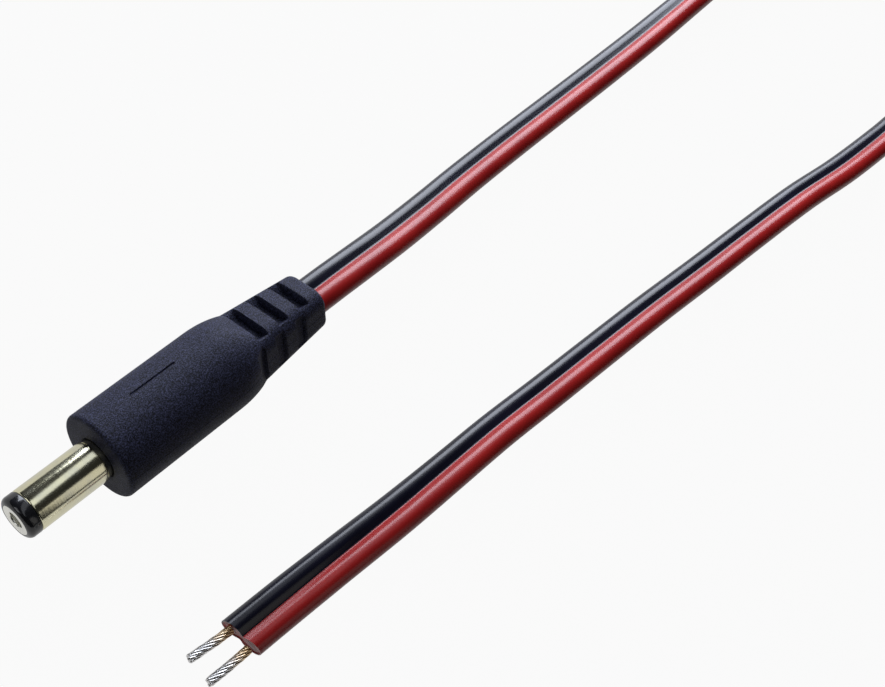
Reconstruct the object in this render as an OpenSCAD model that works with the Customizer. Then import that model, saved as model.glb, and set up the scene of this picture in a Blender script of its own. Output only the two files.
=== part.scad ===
// Barrel plug for low-voltage supply, moulded on a red and black twin cable with bare ends.
// The plug lies on its round housing. X runs from the tip of the barrel towards the cable.

/* [Barrel] */
// Outside diameter of the contact sleeve
sleeve_d = 5.5; // [5:0.1:6.5]
// Wall of the contact sleeve
sleeve_wall = 0.4; // [0.3:0.05:0.5]
// Bright length of the sleeve in front of the housing
sleeve_len = 10; // [8:0.5:14]
// Length of the insulating ring at the tip
tip_len = 1.7; // [1.2:0.1:2.5]
// Rounding of the insulating ring's outer edge
tip_round = 0.7; // [0.3:0.1:0.9]
// Bore of the inner contact
bore_d = 2.1; // [1.6:0.1:2.5]
// Wall of the inner contact
contact_wall = 0.45; // [0.3:0.05:0.5]
// Diameter of the inner contact's flange at the tip
flange_d = 4.1; // [3.7:0.1:4.3]
// Thickness of that flange
flange_t = 0.3; // [0.2:0.05:0.5]
// Depth of the bore from the tip
bore_len = 10.5; // [8:0.5:11]
// Distance of the sleeve's fine groove from the housing
groove_back = 0.6; // [0.4:0.1:1]

/* [Housing] */
// Diameter of the moulded body
body_d = 11.5; // [10:0.5:14]
// Length of the round part of the body
body_len = 17.5; // [15:0.5:22]
// Rounding of the front edge
front_round = 0.5; // [0.2:0.1:0.8]
// Length of the shoulder between the body and the strain relief
shoulder_len = 5.3; // [4:0.1:7]
// Length of the strain relief behind the shoulder
relief_len = 11.3; // [10.5:0.1:14]
// Width of the strain relief at the shoulder
relief_w0 = 8.6; // [8:0.1:9.5]
// Height of the strain relief at the shoulder
relief_h0 = 8; // [7.4:0.1:9]
// Width of the strain relief at its end
relief_w1 = 6.9; // [6.7:0.1:8]
// Height of the strain relief at its end
relief_h1 = 6.1; // [5.6:0.1:7]
// Number of slots on each side of the strain relief
slots = 3; // [2:1:3]
// Distance from one slot to the next
slot_pitch = 3.65; // [3.5:0.05:3.8]
// Width of a slot
slot_w = 1.6; // [1.2:0.1:1.7]
// Depth of the slots in the top and bottom
slot_depth = 1.3; // [0.8:0.1:1.4]
// Depth of the slots in the sides
side_slot_depth = 0.5; // [0.3:0.1:0.6]
// Length of the mark on top of the body
mark_len = 6.7; // [4:0.1:9]
// Turn of the plug about its own length as it lies
plug_roll = 29; // [0:1:45]

/* [Cable] */
// Diameter of one insulated core
core_d = 3; // [2.6:0.1:3.1]
// Gap between the cores before they are bonded
core_gap = 0.05; // [0.02:0.01:0.1]
// Diameter of one bundle of strands
strand_d = 1.2; // [0.8:0.1:1.4]
// Length of a tinned end
tinned_len = 6.3; // [4:0.1:8]
// Length of the hank that the rest of the cable is folded into
hank_len = 100; // [90:1:115]
// Width of the hank
hank_w = 40; // [38:1:44]
// Number of turns side by side in the hank
hank_turns = 3; // [2:1:4]
// Number of layers in the hank
hank_layers = 2; // [1:1:3]
// Thickness of the tie round the hank
tie_t = 0.4; // [0.3:0.1:1]
// Width of the tie
tie_w = 3; // [2:0.5:5]

/* [Hidden] */
$fn = 64;

black_pvc = [0.05, 0.05, 0.06];
red_pvc = [0.6, 0.09, 0.08];
nickel = [0.75, 0.73, 0.65];
solder_grey = [0.7, 0.7, 0.72];
copper = [0.78, 0.55, 0.38];

// A thin gap keeps neighbouring pieces from sharing material
mould_gap = 0.03;

barrel_len = sleeve_len + tip_len;
housing_len = body_len + shoulder_len + relief_len;
plug_len = barrel_len + housing_len;
// The row's origin is under the middle of the plug, on the surface that it lies on
plug_x = barrel_len - plug_len / 2;
axis_z = body_d / 2;

sleeve_in_d = sleeve_d - 2 * sleeve_wall;
liner_d = sleeve_in_d - 2 * mould_gap;
contact_d = bore_d + 2 * contact_wall;
// Inside the housing, measured back from its front face
collar_x = 1;
collar_t = 0.8;
collar_d = sleeve_d + 2;
// The sleeve is a little thinner behind its groove, where the housing grips it
seat_step = 0.17;
seat_r = sleeve_d / 2 - seat_step;
sleeve_back = 3;
tail_end = 10;
tail_angle = 100;
bush_x = 1.6;
bush_lip = 0.7;
solder_pin_d = 1.6;
solder_pin_end = 8.6;
lead_x = 11.5;
strand_bare = 4.5;
solder_x = 7.6;
solder_len = 1.8;

core_pitch = core_d + core_gap;
cable_w = core_pitch + core_d;
turn_step = core_d + 0.2;
layer_step = cable_w + 0.15;
hank_h = hank_layers * layer_step;
// Where the hank starts and where its middle line lies
hank_at = [158, -16];

// Where the cable leaves the strain relief
cable_x = plug_x + housing_len + 0.05;

// Cable from the strain relief to the hank: x, y, height of its middle, turn of its flat section
plug_route = [
    [cable_x, 0, axis_z, plug_roll], [cable_x + 4.05, 0, axis_z - 0.05, plug_roll],
    [33, 0, 5.2, 30], [40, 0.1, 4.2, 31], [48, 0.4, 3.2, 32],
    [57, 0.8, 2.6, 33], [67, 1, 2.4, 34], [78, 1.1, 2.35, 35], [90, 1.2, 2.4, 36], [102, 1.4, 2.45, 38],
    [114, 1.8, 2.5, 42], [126, 2.1, 2.75, 50], [138, 2.3, 3, 62], [148, 2.4, 3.15, 74],
    [158, 2.4, 3.4, 86], [167, 2.4, 3.5, 90]];
// Cable from the hank to the bare end
free_route = [
    [167, -34.4, 9.6, 90], [159, -34.7, 8.6, 86], [150, -35.4, 6.4, 72], [141, -36, 4.3, 58],
    [132, -36.3, 3, 48], [124, -36, 2.55, 42], [114, -35.2, 2.5, 39], [103, -33.8, 2.45, 38],
    [90, -32.7, 2.45, 38], [78, -31.8, 2.4, 37], [66, -30.8, 2.4, 36], [54, -30, 2.35, 35],
    [43, -29.3, 2.35, 34], [33, -28.6, 2.3, 32], [23, -28.2, 2.25, 29], [14, -27.8, 2.1, 22],
    [5, -27.2, 1.9, 13], [-3, -26.7, 1.65, 4], [-11, -26.3, 1.55, 0]];

// ---- placing ----

// Puts a piece of the plug, drawn from the housing's front face, where the plug lies
module on_plug() translate([plug_x, 0, axis_z]) rotate([-plug_roll, 0, 0]) children();

// A turned piece: its profile is given as [distance along the plug, radius]
module turned(profile) rotate([0, 90, 0]) rotate_extrude() polygon([for (p = profile) [p[1], p[0]]]);

module rod(x0, x1, d) translate([x0, 0, 0]) rotate([0, 90, 0]) cylinder(d = d, h = x1 - x0);

// Points of a quarter round from one direction to another
function arc(c, r, a0, a1, n = 8) = [for (i = [0 : n]) let (a = a0 + (a1 - a0) * i / n) c + r * [cos(a), sin(a)]];

// ---- barrel ----

module outer_contact_sleeve() color(nickel) on_plug() {
    ro = sleeve_d / 2;
    ri = sleeve_in_d / 2;
    lip = 0.2;
    groove_w = 0.14;
    groove_r = seat_r - 0.07;
    difference() {
        union() {
            turned(concat([[sleeve_back, ri], [-sleeve_len, ri]],
                arc([-sleeve_len + lip, ro - lip], lip, 180, 90),
                [[-groove_back - groove_w, ro], [-groove_back - groove_w, groove_r],
                 [-groove_back, groove_r], [-groove_back, seat_r],
                 [collar_x, seat_r], [collar_x, collar_d / 2], [collar_x + collar_t, collar_d / 2],
                 [collar_x + collar_t, seat_r], [sleeve_back, seat_r]]));
            // Tail of the tube, left as a strap for the black conductor
            rotate([90 - tail_angle / 2, 0, 0]) rotate([0, 90, 0]) translate([0, 0, sleeve_back])
                rotate([0, 0, 90]) rotate_extrude(angle = tail_angle)
                    translate([ri, 0]) square([seat_r - ri, tail_end - sleeve_back]);
        }
        // Slanted mouth of the strap
        translate([tail_end, 0, ro]) rotate([0, 45, 0]) cube([2, 20, 2], center = true);
    }
}

module tip_insulator() color(black_pvc) on_plug() {
    ro = sleeve_d / 2;
    bore = contact_d / 2 + mould_gap;
    back = collar_x;
    turned(concat([[back, bore], [-barrel_len + flange_t, bore],
            [-barrel_len + flange_t, flange_d / 2 + mould_gap], [-barrel_len, flange_d / 2 + mould_gap]],
        arc([-barrel_len + tip_round, ro - tip_round], tip_round, 180, 90),
        [[-sleeve_len - mould_gap, ro], [-sleeve_len - mould_gap, liner_d / 2], [back, liner_d / 2]]));
}

module inner_contact_tube() color(nickel) on_plug() {
    r = contact_d / 2;
    pin = solder_pin_d / 2;
    lead_in = 0.25;
    difference() {
        turned([[-barrel_len, 0], [-barrel_len, flange_d / 2], [-barrel_len + flange_t, flange_d / 2],
            [-barrel_len + flange_t, r], [bush_x, r], [bush_x, pin], [solder_pin_end, pin], [solder_pin_end, 0]]);
        rod(-barrel_len - 1, -barrel_len + bore_len, bore_d);
        // Countersunk mouth
        turned([[-barrel_len - 0.01, 0], [-barrel_len - 0.01, bore_d / 2 + lead_in],
            [-barrel_len + lead_in, bore_d / 2], [-barrel_len + lead_in, 0]]);
    }
}

module rear_insulating_bush() color(black_pvc) on_plug() {
    bore = solder_pin_d / 2 + mould_gap;
    out = liner_d / 2;
    turned([[bush_x + mould_gap, bore], [bush_x + mould_gap, out], [sleeve_back + bush_lip, out],
        [sleeve_back + bush_lip, bore]]);
}

// ---- housing ----

// Half-width, half-height and corner radius of the housing at a place behind its round body
function relief_section(x) =
    let (t = (x - body_len) / shoulder_len,
         k = min(max(t, 0), 1),
         s = pow(k, 2.2),
         u = max(x - body_len - shoulder_len, 0) / relief_len,
         r = body_d / 2,
         w0 = r + (relief_w0 / 2 - r) * s, h0 = r + (relief_h0 / 2 - r) * s,
         w = w0 + (relief_w1 - relief_w0) / 2 * u, h = h0 + (relief_h1 - relief_h0) / 2 * u,
         c = r + (relief_h0 * 0.3 - r) * s - 0.5 * u)
    [w, h, c];

// One ring of the housing's skin; inset draws in the last edge
function skin_ring(x, inset, n) =
    let (q = relief_section(x), c = q[2] - inset * 0.5, w = q[0] - inset - c, h = q[1] - inset - c)
    [for (i = [0 : n - 1]) let (a = 360 * (i + 0.5) / n)
        [x, sign(cos(a)) * w + c * cos(a), sign(sin(a)) * h + c * sin(a)]];

// Closed skin over a list of rings with as many points each
module skin(rings) {
    n = len(rings[0]);
    m = len(rings);
    points = [for (r = rings) for (p = r) p];
    sides = [for (j = [0 : m - 2]) for (i = [0 : n - 1]) let (k = (i + 1) % n)
        each [[j * n + i, (j + 1) * n + k, j * n + k], [j * n + i, (j + 1) * n + i, (j + 1) * n + k]]];
    polyhedron(points, concat(sides, [[for (i = [0 : n - 1]) i]], [[for (i = [n - 1 : -1 : 0]) (m - 1) * n + i]]));
}

module housing_outside() {
    r = body_d / 2;
    turned(concat([[0, 0]], arc([front_round, r - front_round], front_round, 180, 90),
        [[body_len, r], [body_len, 0]]));
    edge = 0.6;
    steps = 9;
    // The skin starts inside the round body, so that the two overlap
    skin(concat(
        [[for (p = skin_ring(body_len, 0.02, 48)) [body_len - 1, p[1], p[2]]]],
        [for (i = [1 : steps]) skin_ring(body_len + shoulder_len * i / steps, 0, 48)],
        [for (i = [1 : 3]) skin_ring(body_len + shoulder_len + (relief_len - edge) * i / 3, 0, 48)],
        [for (i = [1 : 3]) skin_ring(housing_len - edge + edge * sin(30 * i), edge * (1 - cos(30 * i)), 48)]));
}

// Slots across the top and bottom, and between them shallower slots in the sides
module relief_slots() {
    first = body_len + shoulder_len + 0.05;
    top_span = 0.75;
    side_span = 0.5;
    for (i = [0 : slots - 1]) {
        x = first + i * slot_pitch;
        top = relief_section(x + slot_w / 2);
        side = relief_section(x - slot_w / 2);
        for (way = [0, 1]) mirror([0, 0, way])
            translate([x, -top[0] * top_span, top[1] - slot_depth])
                cube([slot_w, 2 * top[0] * top_span, body_d]);
        for (way = [0, 1]) mirror([0, way, 0])
            translate([x - slot_w, side[0] - side_slot_depth, -side[1] * side_span])
                cube([slot_w, body_d, 2 * side[1] * side_span]);
    }
}

module moulded_housing() color(black_pvc) on_plug() {
    g = mould_gap;
    difference() {
        housing_outside();
        relief_slots();
        // Seat of the sleeve with its collar, its strap and the bush
        turned([[-1, 0], [-1, seat_r + g], [collar_x - g, seat_r + g],
            [collar_x - g, collar_d / 2 + g], [collar_x + collar_t + g, collar_d / 2 + g],
            [collar_x + collar_t + g, seat_r + g], [tail_end + g, seat_r + g],
            [tail_end + g, 0]]);
        // Room for the joints and for the two cores
        for (y = [-1, 1]) translate([0, y * core_pitch / 2, 0]) {
            rod(solder_x - 1, lead_x + 1, strand_d + 2 * g);
            rod(lead_x - g, housing_len + 1, core_d + 2 * g);
        }
        // Engraved mark on top
        translate([6, -0.17, body_d / 2 - 0.22]) cube([mark_len, 0.34, 1]);
    }
}

// ---- leads ----

module lead(side) translate([0, side * core_pitch / 2, 0]) difference() {
    rod(lead_x, housing_len, core_d);
    rod(lead_x - 1, lead_x + 2, strand_d);
}

module conductor(side) translate([0, side * core_pitch / 2, 0]) rod(lead_x + 2 - strand_bare - 1.5, lead_x + 2, strand_d);

module red_lead() color(red_pvc) on_plug() lead(-1);
module black_lead() color(black_pvc) on_plug() lead(1);
module red_conductor() color(copper) on_plug() conductor(-1);
module black_conductor() color(copper) on_plug() conductor(1);

// A round-ended drop of solder along the plug
module drop(x0, len, r) {
    e = r * 0.7;
    turned(concat([[x0, 0]], [for (i = [0 : 6]) [x0 + e * (1 - cos(15 * i)), r * sin(15 * i)]],
        [for (i = [6 : -1 : 0]) [x0 + len - e * (1 - cos(15 * i)), r * sin(15 * i)]]));
}

module centre_solder_joint() color(solder_grey) on_plug() difference() {
    translate([0, -core_pitch / 4, 0]) drop(solder_x - 1, solder_len, 1.15);
    rod(0, solder_pin_end + 1, solder_pin_d);
    translate([0, -core_pitch / 2, 0]) rod(0, 20, strand_d);
}

module sleeve_solder_joint() color(solder_grey) on_plug() difference() {
    intersection() {
        translate([0, core_pitch * 0.6, 0]) drop(solder_x, solder_len, 0.85);
        rod(0, 20, sleeve_in_d);
    }
    rod(0, solder_pin_end + 1, solder_pin_d + 0.2);
    translate([0, core_pitch / 2, 0]) rod(0, 20, strand_d);
}

// ---- cable ----

// Flat ring of eight points across the cable at one place on its route
function cable_ring(route, i) =
    let (p = route[i], a = route[max(i - 1, 0)], b = route[min(i + 1, len(route) - 1)],
         d = [b[0] - a[0], b[1] - a[1], b[2] - a[2]], t = d / norm(d),
         side = cross([0, 0, 1], t) / norm(cross([0, 0, 1], t)), up = cross(t, side),
         way = t[0] < 0 ? -1 : 1,
         wide = side * cos(p[3]) - up * sin(p[3]) * way, thick = cross(t, wide),
         w = cable_w / 2, h = core_d / 2)
    [for (q = [[0.98, 0.41], [0.66, 0.97], [-0.66, 0.97], [-0.98, 0.41],
               [-0.98, -0.41], [-0.66, -0.97], [0.66, -0.97], [0.98, -0.41]])
        [p[0], p[1], p[2]] + wide * w * q[0] + thick * h * q[1]];

module cable_run(route) skin([for (i = [0 : len(route) - 1]) cable_ring(route, i)]);

module cable_plug_side() color(red_pvc) cable_run(plug_route);
module cable_free_side() color(red_pvc) cable_run(free_route);

// Flat outline of the hank, drawn in from its outside
module hank_outline(inset) {
    r = hank_w / 2 - inset;
    for (x = [hank_w / 2, hank_len - hank_w / 2]) translate([x, 0]) circle(r);
    translate([hank_w / 2, -r]) square([hank_len - hank_w, 2 * r]);
}

module cable_hank() color(red_pvc) translate([hank_at[0], hank_at[1], tie_t]) linear_extrude(hank_h) difference() {
    hank_outline(0);
    hank_outline(hank_turns * turn_step);
}

module hank_tie() color(black_pvc) translate([hank_at[0] + (hank_len - tie_w) / 2, hank_at[1], 0]) difference() {
    room = 0.3;
    translate([0, -hank_w / 2 - room - tie_t, 0])
        cube([tie_w, hank_w + 2 * (room + tie_t), hank_h + 2 * tie_t + 0.1]);
    translate([-1, -hank_w / 2 - room, tie_t]) cube([tie_w + 2, hank_w + 2 * room, hank_h + 0.1]);
}

// The bare end of a core, on from the last point of the free route
module tinned_end(side, splay) let (p = free_route[len(free_route) - 1])
    translate([p[0] - 0.2, p[1] + side * core_pitch / 2, p[2]]) rotate([0, 0, 180 - splay]) rotate([0, 90, 0])
        cylinder(d = strand_d, h = tinned_len);

module red_tinned_end() color(solder_grey) tinned_end(-1, 2);
module black_tinned_end() color(solder_grey) tinned_end(1, 6);

outer_contact_sleeve();
tip_insulator();
inner_contact_tube();
rear_insulating_bush();
moulded_housing();
red_lead();
black_lead();
red_conductor();
black_conductor();
centre_solder_joint();
sleeve_solder_joint();
cable_plug_side();
cable_hank();
cable_free_side();
red_tinned_end();
black_tinned_end();
hank_tie();
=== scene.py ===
"""Looks of a moulded barrel plug on a red and black twin cable with bare tinned ends."""

import logging
import math
import random
from dataclasses import dataclass, field
from enum import Enum
from typing import Sequence

import bmesh
import bpy
from mathutils import Matrix, Vector


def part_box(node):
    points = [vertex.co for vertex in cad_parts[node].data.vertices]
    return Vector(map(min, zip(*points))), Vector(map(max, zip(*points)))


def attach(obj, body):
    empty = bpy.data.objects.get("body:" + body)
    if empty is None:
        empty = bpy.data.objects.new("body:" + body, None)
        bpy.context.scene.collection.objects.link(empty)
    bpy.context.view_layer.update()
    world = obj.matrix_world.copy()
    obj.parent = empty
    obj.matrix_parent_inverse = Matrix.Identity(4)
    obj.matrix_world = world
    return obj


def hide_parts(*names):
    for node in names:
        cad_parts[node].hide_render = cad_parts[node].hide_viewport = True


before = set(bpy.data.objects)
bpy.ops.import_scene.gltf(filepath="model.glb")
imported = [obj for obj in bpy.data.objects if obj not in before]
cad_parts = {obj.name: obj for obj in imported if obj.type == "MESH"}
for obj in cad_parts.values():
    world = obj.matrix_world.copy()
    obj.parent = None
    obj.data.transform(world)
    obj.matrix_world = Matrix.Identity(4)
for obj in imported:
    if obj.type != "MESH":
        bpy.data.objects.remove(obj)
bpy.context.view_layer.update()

log = logging.getLogger("barrel_plug")

MM = 0.001
WELD = 1e-7
TINY = 1e-9
AXIS_HOLE = 0.001
CORE_RADIUS = 1.5

Colour = tuple[float, float, float]
Place = tuple[float, float, float]
Station = tuple[float, float, float, float]
Range = tuple[float, float]
Pairs = Sequence[tuple[float, float]]
RoundSection = tuple[float, list[float]]


class Body(Enum):
    """The rigid bodies that pieces ride on."""

    ROOT = "root"


class Slot(Enum):
    """Names of material slots, which no piece here uses."""

    NICKEL = "nickel"
    BLACK_PLASTIC = "black_plastic"
    BLACK_PVC = "black_pvc"
    RED_PVC = "red_pvc"
    SOLDER = "solder"


class Core(Enum):
    """The cable's two cores, by the place of their finish on the cable."""

    RED = 0
    BLACK = 1


class Leg(Enum):
    """The stretches of half a turn in the hank."""

    RUN = "run"
    BEND = "bend"


# ---- shader maths ----


class Shade:
    """A shader socket that takes part in arithmetic."""

    def __init__(self, tree: "Tree", socket: bpy.types.NodeSocket) -> None:
        """Wraps an output socket of a tree."""
        self.tree = tree
        self.socket = socket

    def _join(self, operation: str, first: "Shade | float", second: "Shade | float") -> "Shade":
        """Adds a Math node.

        Args:
            operation: the Math node's operation.
            first: the left value.
            second: the right value.

        Returns:
            The node's result.
        """
        return self.tree.add("ShaderNodeMath", {"operation": operation}, {0: first, 1: second})

    def __add__(self, other: "Shade | float") -> "Shade":
        """Sum."""
        return self._join("ADD", self, other)

    def __radd__(self, other: float) -> "Shade":
        """Reflected sum."""
        return self._join("ADD", other, self)

    def __sub__(self, other: "Shade | float") -> "Shade":
        """Difference."""
        return self._join("SUBTRACT", self, other)

    def __rsub__(self, other: float) -> "Shade":
        """Reflected difference."""
        return self._join("SUBTRACT", other, self)

    def __mul__(self, other: "Shade | float") -> "Shade":
        """Product."""
        return self._join("MULTIPLY", self, other)

    def __rmul__(self, other: float) -> "Shade":
        """Reflected product."""
        return self._join("MULTIPLY", other, self)

    def clipped(self) -> "Shade":
        """The value held between 0 and 1."""
        return self.tree.add("ShaderNodeClamp", {}, {"Value": self})

    def step(self, low: float, high: float) -> "Shade":
        """A smooth rise from 0 at low to 1 at high.

        Args:
            low: where the rise starts.
            high: where it ends.

        Returns:
            The risen value.
        """
        return self.tree.add(
            "ShaderNodeMapRange",
            {"interpolation_type": "SMOOTHSTEP"},
            {"Value": self, "From Min": low, "From Max": high},
        )


class Tree:
    """The node tree of a material or a world."""

    def __init__(self, graph: bpy.types.NodeTree) -> None:
        """Wraps a node tree."""
        self.nodes = graph.nodes
        self.links = graph.links

    def node(
        self,
        kind: str,
        settings: dict[str, object],
        values: dict[str | int, object],
    ) -> bpy.types.Node:
        """Adds any node.

        Args:
            kind: the node's type.
            settings: its own settings, which are set first.
            values: numbers, colours or links for its sockets, by name or place.

        Returns:
            The node.
        """
        node = self.nodes.new(kind)
        for name, value in settings.items():
            setattr(node, name, value)
        for name, value in values.items():
            self.feed(node.inputs[name], value)
        return node

    def add(
        self,
        kind: str,
        settings: dict[str, object],
        values: dict[str | int, object],
        result: str | int = 0,
    ) -> Shade:
        """Adds a node for one of its results.

        Args:
            kind: the node's type.
            settings: its own settings.
            values: numbers, colours or links for its sockets, by name or place.
            result: the output socket to return.

        Returns:
            That output socket.
        """
        return Shade(self, self.node(kind, settings, values).outputs[result])

    def feed(self, socket: bpy.types.NodeSocket, value: object) -> None:
        """Links or sets one input socket.

        Args:
            socket: the input.
            value: a Shade to link, or a number or colour to set.
        """
        if isinstance(value, Shade):
            self.links.new(value.socket, socket)
        elif socket.type == "RGBA" and len(value) == 3:
            socket.default_value = (*value, 1.0)
        else:
            socket.default_value = value


class Finish(Tree):
    """The node tree of one material, with a Principled shader."""

    def __init__(self, name: str) -> None:
        """Makes the material.

        Args:
            name: the material's name.
        """
        self.material = bpy.data.materials.new(name)
        self.material.use_nodes = True
        super().__init__(self.material.node_tree)
        self.nodes.clear()
        self.shader = self.node("ShaderNodeBsdfPrincipled", {}, {})
        self.output = self.node("ShaderNodeOutputMaterial", {}, {"Surface": self.principled})

    @property
    def principled(self) -> Shade:
        """The Principled shader's result."""
        return Shade(self, self.shader.outputs[0])

    def surface(self, **values: object) -> None:
        """Sets the Principled shader's sockets; an underscore in a name stands for a space."""
        for name, value in values.items():
            self.feed(self.shader.inputs[name.replace("_", " ")], value)

    def place(self) -> Shade:
        """The point's place in the row frame, in millimetres."""
        spot = self.add("ShaderNodeNewGeometry", {}, {}, "Position")
        return self.add("ShaderNodeVectorMath", {"operation": "SCALE"}, {0: spot, "Scale": 1 / MM})

    def stretched(self, vector: Shade, by: Place) -> Shade:
        """A vector scaled differently along each axis."""
        return self.add("ShaderNodeVectorMath", {"operation": "MULTIPLY"}, {0: vector, 1: by})

    def noise(self, vector: Shade, scale: float, detail: float = 3.0, roughness: float = 0.6) -> Shade:
        """Smooth noise.

        Args:
            vector: where to read it.
            scale: features per millimetre.
            detail: octaves.
            roughness: weight of the finer octaves.

        Returns:
            The noise's value.
        """
        values = {"Vector": vector, "Scale": scale, "Detail": detail, "Roughness": roughness}
        return self.add("ShaderNodeTexNoise", {}, values)

    def soft_noise(self, vector: Shade, scale: float) -> Shade:
        """Noise with fewer and weaker fine octaves."""
        return self.noise(vector, scale, detail=2.0, roughness=0.5)

    def blend(self, mask: Shade, first: Colour, second: Colour) -> Shade:
        """Mixes two colours by a mask."""
        values = {"Factor": mask, 6: first, 7: second}
        return self.add("ShaderNodeMix", {"data_type": "RGBA"}, values, 2)

    def bump(self, height: Shade, depth: float) -> Shade:
        """A normal from a height, with the depth in millimetres."""
        values = {"Height": height, "Distance": depth * MM, "Strength": 1.0}
        return self.add("ShaderNodeBump", {}, values, "Normal")


# ---- finishes: scales are in features per millimetre and depths in millimetres ----


@dataclass(frozen=True)
class SparkTexturedPvc:
    """Flexible black moulding with the fine grain of a spark-eroded mould."""

    name: str = "spark_textured_pvc"
    colour: Colour = (0.001, 0.001, 0.002)
    worn: Colour = (0.066, 0.072, 0.140)
    worn_range: Range = (0.42, 0.68)
    grain_scale: float = 6.5
    fine_ratio: float = 2.7
    fine_share: float = 0.3
    patch_scale: float = 0.35
    depth: float = 0.09
    roughness: float = 0.46
    patch_roughness: float = 0.12
    grain_roughness: float = 0.10
    refraction: float = 1.22

    def build(self) -> bpy.types.Material:
        """Makes the material.

        Returns:
            The material.
        """
        tree = Finish(self.name)
        place = tree.place()
        grain = tree.noise(place, self.grain_scale)
        fine = tree.soft_noise(place, self.grain_scale * self.fine_ratio)
        patches = tree.soft_noise(place, self.patch_scale)
        height = grain * (1 - self.fine_share) + fine * self.fine_share
        varied = patches * self.patch_roughness + fine * self.grain_roughness
        tree.surface(
            Base_Color=tree.blend(height.step(*self.worn_range), self.colour, self.worn),
            Roughness=(self.roughness + varied).clipped(),
            IOR=self.refraction,
            Normal=tree.bump(height, self.depth),
        )
        return tree.material


@dataclass(frozen=True)
class ExtrudedPvc:
    """Smooth extruded insulation with faint lengthwise drag lines and handling marks."""

    name: str
    colour: Colour
    deep: Colour
    roughness: float = 0.24
    drag_stretch: Place = (0.05, 1.0, 1.0)
    drag_scale: float = 2.2
    drag_share: float = 0.2
    drag_roughness: float = 0.08
    wave_scale: float = 0.16
    wave_range: Range = (0.3, 0.7)
    dust_scale: float = 1.4
    dust_roughness: float = 0.06
    depth: float = 0.04
    refraction: float = 1.42

    def build(self) -> bpy.types.Material:
        """Makes the material.

        Returns:
            The material.
        """
        tree = Finish(self.name)
        place = tree.place()
        drag = tree.noise(tree.stretched(place, self.drag_stretch), self.drag_scale, roughness=0.5)
        waves = tree.soft_noise(place, self.wave_scale)
        dust = tree.noise(place, self.dust_scale)
        varied = drag * self.drag_roughness + dust * self.dust_roughness
        height = waves * (1 - self.drag_share) + drag * self.drag_share
        tree.surface(
            Base_Color=tree.blend(waves.step(*self.wave_range), self.deep, self.colour),
            Roughness=(self.roughness + varied).clipped(),
            IOR=self.refraction,
            Normal=tree.bump(height, self.depth),
        )
        return tree.material


@dataclass(frozen=True)
class NickelPlate:
    """Bright nickel plate over turned brass, a little warm, with turning marks."""

    name: str = "nickel_plate"
    colour: Colour = (0.76, 0.72, 0.50)
    dull: Colour = (0.66, 0.64, 0.50)
    roughness: float = 0.10
    turning_stretch: Place = (1.0, 0.03, 0.03)
    turning_scale: float = 5.0
    turning_roughness: float = 0.08
    stain_scale: float = 0.5
    stain_range: Range = (0.35, 0.75)
    stain_roughness: float = 0.06
    depth: float = 0.004

    def build(self) -> bpy.types.Material:
        """Makes the material.

        Returns:
            The material.
        """
        tree = Finish(self.name)
        place = tree.place()
        turning = tree.noise(tree.stretched(place, self.turning_stretch), self.turning_scale, detail=4.0)
        stain = tree.noise(place, self.stain_scale)
        varied = turning * self.turning_roughness + stain * self.stain_roughness
        tree.surface(
            Base_Color=tree.blend(stain.step(*self.stain_range), self.colour, self.dull),
            Metallic=1.0,
            Roughness=(self.roughness + varied).clipped(),
            Normal=tree.bump(turning, self.depth),
        )
        return tree.material


@dataclass(frozen=True)
class HardBlackPlastic:
    """Smooth glossy insulating plastic."""

    name: str = "hard_black_plastic"
    colour: Colour = (0.010, 0.010, 0.012)
    marked: Colour = (0.020, 0.020, 0.024)
    mark_scale: float = 1.1
    mark_range: Range = (0.4, 0.8)
    mark_roughness: float = 0.10
    roughness: float = 0.10
    depth: float = 0.02
    refraction: float = 1.5

    def build(self) -> bpy.types.Material:
        """Makes the material.

        Returns:
            The material.
        """
        tree = Finish(self.name)
        marks = tree.noise(tree.place(), self.mark_scale)
        tree.surface(
            Base_Color=tree.blend(marks.step(*self.mark_range), self.colour, self.marked),
            Roughness=(self.roughness + marks * self.mark_roughness).clipped(),
            IOR=self.refraction,
            Normal=tree.bump(marks, self.depth),
        )
        return tree.material


@dataclass(frozen=True)
class SatinMetal:
    """Satin metal with slight blotches."""

    name: str
    colour: Colour = (0.74, 0.73, 0.72)
    blotch_scale: float = 1.6
    blotch_roughness: float = 0.2
    roughness: float = 0.2
    depth: float = 0.05

    def tint(self, tree: Finish, place: Shade, blotch: Shade) -> Colour | Shade:
        """The colour, which is the same all over."""
        return self.colour

    def build(self) -> bpy.types.Material:
        """Makes the material.

        Returns:
            The material.
        """
        tree = Finish(self.name)
        place = tree.place()
        blotch = tree.noise(place, self.blotch_scale)
        tree.surface(
            Base_Color=self.tint(tree, place, blotch),
            Metallic=1.0,
            Roughness=(self.roughness + blotch * self.blotch_roughness).clipped(),
            Normal=tree.bump(blotch, self.depth),
        )
        return tree.material


@dataclass(frozen=True)
class TinnedStrands(SatinMetal):
    """Solder-coated strands: satin silver that turns coppery towards the insulation."""

    name: str = "tinned_strands"
    warm: Colour = (0.70, 0.50, 0.28)
    warm_range: Range = (-15.0, -11.5)
    fray: float = 2.4

    def tint(self, tree: Finish, place: Shade, blotch: Shade) -> Colour | Shade:
        """Blends the two colours along the strands, with a frayed border.

        Args:
            tree: the material's tree.
            place: the point's place in millimetres.
            blotch: the noise that frays the border.

        Returns:
            The colour.
        """
        along = tree.add("ShaderNodeSeparateXYZ", {}, {"Vector": place}, "X")
        frayed = along + (blotch - 0.5) * self.fray
        return tree.blend(frayed.step(*self.warm_range), self.colour, self.warm)


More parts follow.
